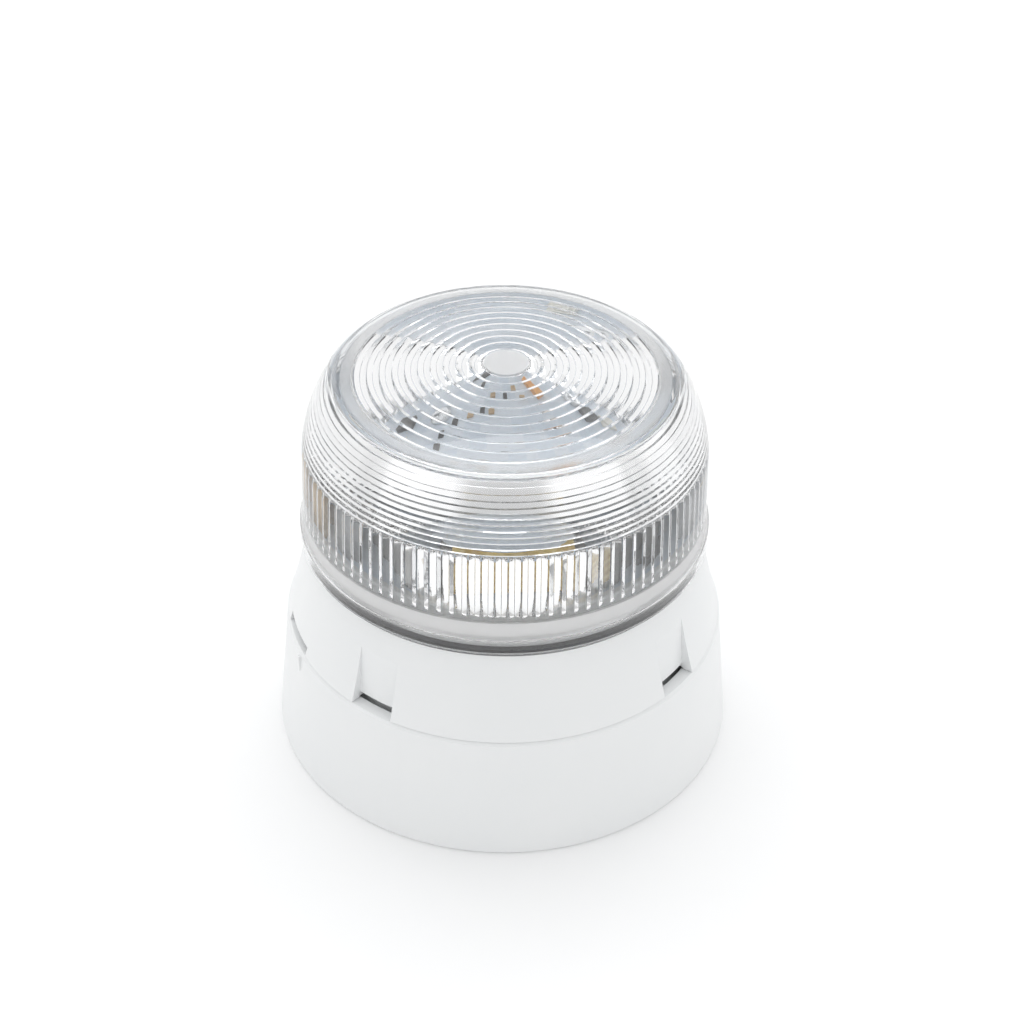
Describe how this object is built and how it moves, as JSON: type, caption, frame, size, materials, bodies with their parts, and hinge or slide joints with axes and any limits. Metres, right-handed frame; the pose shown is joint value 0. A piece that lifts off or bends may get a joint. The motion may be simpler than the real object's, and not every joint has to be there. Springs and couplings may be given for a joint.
{
  "type": "sounder beacon",
  "caption": "Round white sounder beacon with a deep base, a bayonet head with sound slits, and a clear ribbed lens over a lamp board.",
  "frame": {"origin": "centre of the base's back face, on the surface it is fastened to", "axes": "+Z out of the base towards the lens, -Y towards the middle of the two front finger pockets, +X to the right"},
  "size_m": [0.093, 0.093, 0.0842],
  "materials": {
    "white_housing": "satin moulded white polycarbonate",
    "clear_lens": "clear polished polycarbonate",
    "seal_rubber": "black rubber",
    "terminal_green": "moulded",
    "plated_steel": "zinc plated",
    "spring_brass": "nickel-flashed brass",
    "plate_brass": "bright",
    "black_plastic": "moulded",
    "ceramic": "silvered ceramic",
    "ferrite": "sintered ferrite",
    "red_insulation": "wire insulation",
    "black_insulation": "wire insulation",
    "board_green": "solder mask",
    "board_white": "pale solder mask",
    "switch_red": "moulded",
    "switch_white": "moulded",
    "trimmer_blue": "moulded",
    "winding_tape": "polyester tape",
    "film_tan": "epoxy box",
    "grey_sleeve": "printed sleeve without text",
    "lamp_package": "white package with phosphor",
    "chip_black": "moulded epoxy",
    "orange_epoxy": "moulded epoxy",
    "chip_tan": "fired ceramic"
  },
  "bodies": {
    "base": {"mounting_base": "white_housing", "terminal_block": "terminal_green", "terminal_cages": "plated_steel", "terminal_screws": "plated_steel", "terminal_block_screws": "plated_steel", "contact_springs": "spring_brass"},
    "head": {"head_housing": "white_housing", "lens_seal": "seal_rubber", "sounder_cup": "black_plastic", "piezo_plate": "plate_brass", "piezo_ceramic": "ceramic", "piezo_clamp_ring": "black_plastic", "sounder_coil": "ferrite", "piezo_leads": "red_insulation", "control_board": "board_green", "control_board_screws": "plated_steel", "contact_pads": "plate_brass", "tone_switch": "switch_red", "volume_trimmer": "trimmer_blue", "board_link_leads": "black_insulation", "driver_board": "board_white", "transformer_core": "ferrite", "transformer_winding": "winding_tape", "film_capacitors": "film_tan", "smoothing_capacitors": "grey_sleeve", "choke": "ferrite", "lead_connector": "switch_white", "board_pillars": "spring_brass", "lamp_board": "board_white", "lamp_board_screws": "plated_steel", "lamps": "lamp_package", "controller_chip": "chip_black", "tantalum_capacitor": "orange_epoxy", "shielded_inductors": "ferrite", "chip_resistors": "chip_black", "chip_capacitors": "chip_tan"},
    "tone_slider_1": {"tone_slider_1": "switch_white"},
    "tone_slider_2": {"tone_slider_2": "switch_white"},
    "tone_slider_3": {"tone_slider_3": "switch_white"},
    "tone_slider_4": {"tone_slider_4": "switch_white"},
    "volume_rotor": {"volume_rotor": "plate_brass"},
    "lens": {"lens": "clear_lens"}
  },
  "joints": [
    {"name": "head_twist", "type": "hinge", "parent": "base", "child": "head", "pos_m": [0, 0, 0.0267], "axis": [0, 0, 1], "range_deg": [0, 24]},
    {"name": "lens_twist", "type": "hinge", "parent": "head", "child": "lens", "pos_m": [0, 0, 0.05], "axis": [0, 0, 1], "range_deg": [0, 20]},
    {"name": "volume_turn", "type": "hinge", "parent": "head", "child": "volume_rotor", "pos_m": [0.014, 0.021, 0.0285], "axis": [0, 0, 1], "range_deg": [-130, 130]},
    {"name": "tone_slide_1", "type": "slide", "parent": "head", "child": "tone_slider_1", "axis": [0, 1, 0], "range_m": [0, 0.0016]},
    {"name": "tone_slide_2", "type": "slide", "parent": "head", "child": "tone_slider_2", "axis": [0, 1, 0], "range_m": [0, 0.0016]},
    {"name": "tone_slide_3", "type": "slide", "parent": "head", "child": "tone_slider_3", "axis": [0, 1, 0], "range_m": [0, 0.0016]},
    {"name": "tone_slide_4", "type": "slide", "parent": "head", "child": "tone_slider_4", "axis": [0, 1, 0], "range_m": [0, 0.0016]}
  ]
}
